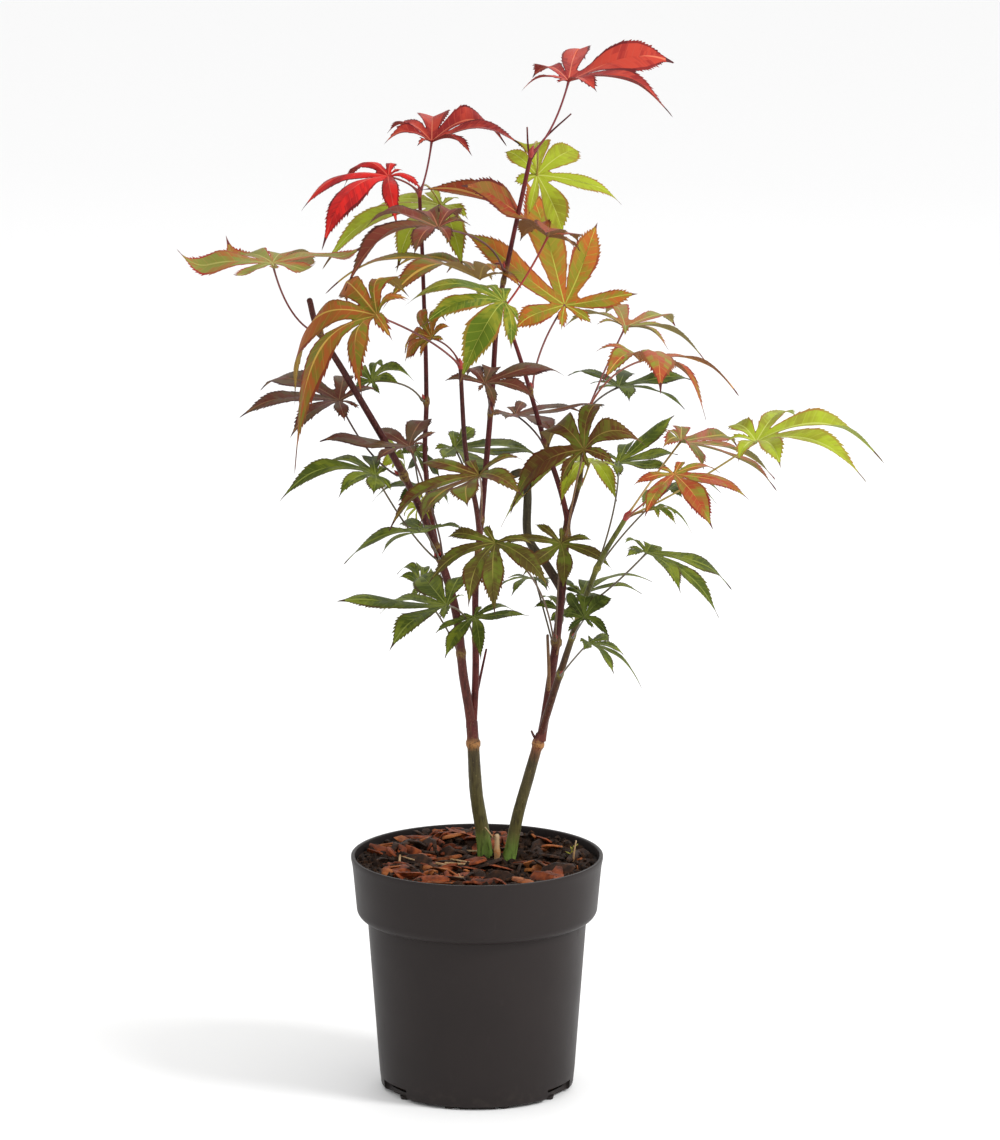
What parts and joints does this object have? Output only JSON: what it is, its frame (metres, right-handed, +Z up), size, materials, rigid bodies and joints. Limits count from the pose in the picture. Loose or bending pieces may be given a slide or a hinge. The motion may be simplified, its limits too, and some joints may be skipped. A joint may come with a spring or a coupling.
{
  "type": "potted japanese maple",
  "caption": "Young Japanese maple with slim forking stems and open tiers of pointed, palm-shaped leaves, rooted in compost in a plain round nursery pot.",
  "frame": {"origin": "centre of the flat underside of the pot", "axes": "+Z up along the plant's height, -Y towards the front of the crown, +X to the right seen from the front"},
  "size_m": [0.5182, 0.3344, 0.7821],
  "materials": {
    "pot": "satin dark grey polypropylene",
    "compost": "moist bark compost with red-brown chips",
    "green_bark": "smooth green young bark",
    "red_bark": "smooth dark maroon bark",
    "dead_wood": "dry pale dead twig",
    "leaf_red": "soft satin leaf",
    "leaf_orange": "soft satin leaf",
    "leaf_purple": "soft satin leaf",
    "leaf_olive": "soft satin leaf",
    "leaf_green": "soft satin leaf",
    "leaf_lime": "soft satin leaf"
  },
  "bodies": {
    "root": {"pot": "pot", "compost": "compost", "trunk_left": "green_bark", "trunk_right": "green_bark", "bough_tall": "red_bark", "bough_outer_left": "red_bark", "bough_back_left": "red_bark", "bough_front": "red_bark", "bough_right": "red_bark", "bough_right_inner": "red_bark", "bough_right_upper": "red_bark", "bough_outer_right": "red_bark", "branch_pruned": "green_bark", "twig_bare": "red_bark", "twig_dead_inner": "dead_wood", "stub_dead": "dead_wood", "foliage_tall_tip": "leaf_red", "foliage_tall_high": "leaf_orange", "foliage_tall_upper": "leaf_orange", "foliage_tall_middle": "leaf_purple", "foliage_tall_lower": "leaf_olive", "foliage_tall_foot": "leaf_green", "foliage_back_tip": "leaf_red", "foliage_back_middle": "leaf_green", "foliage_back_lower": "leaf_lime", "foliage_left_tip": "leaf_orange", "foliage_left_middle": "leaf_purple", "foliage_left_lower": "leaf_purple", "foliage_left_base": "leaf_green", "foliage_front_tip": "leaf_orange", "foliage_inner_tip": "leaf_green", "foliage_inner_upper": "leaf_orange", "foliage_inner_lower": "leaf_purple", "foliage_upper_tip": "leaf_orange", "foliage_upper_foot": "leaf_lime", "foliage_right_top": "leaf_olive", "foliage_right_middle": "leaf_olive", "foliage_outer_tip": "leaf_lime", "foliage_outer_upper": "leaf_green", "foliage_outer_middle": "leaf_green", "foliage_outer_lower": "leaf_green", "foliage_outer_foot": "leaf_green"}
  },
  "joints": []
}
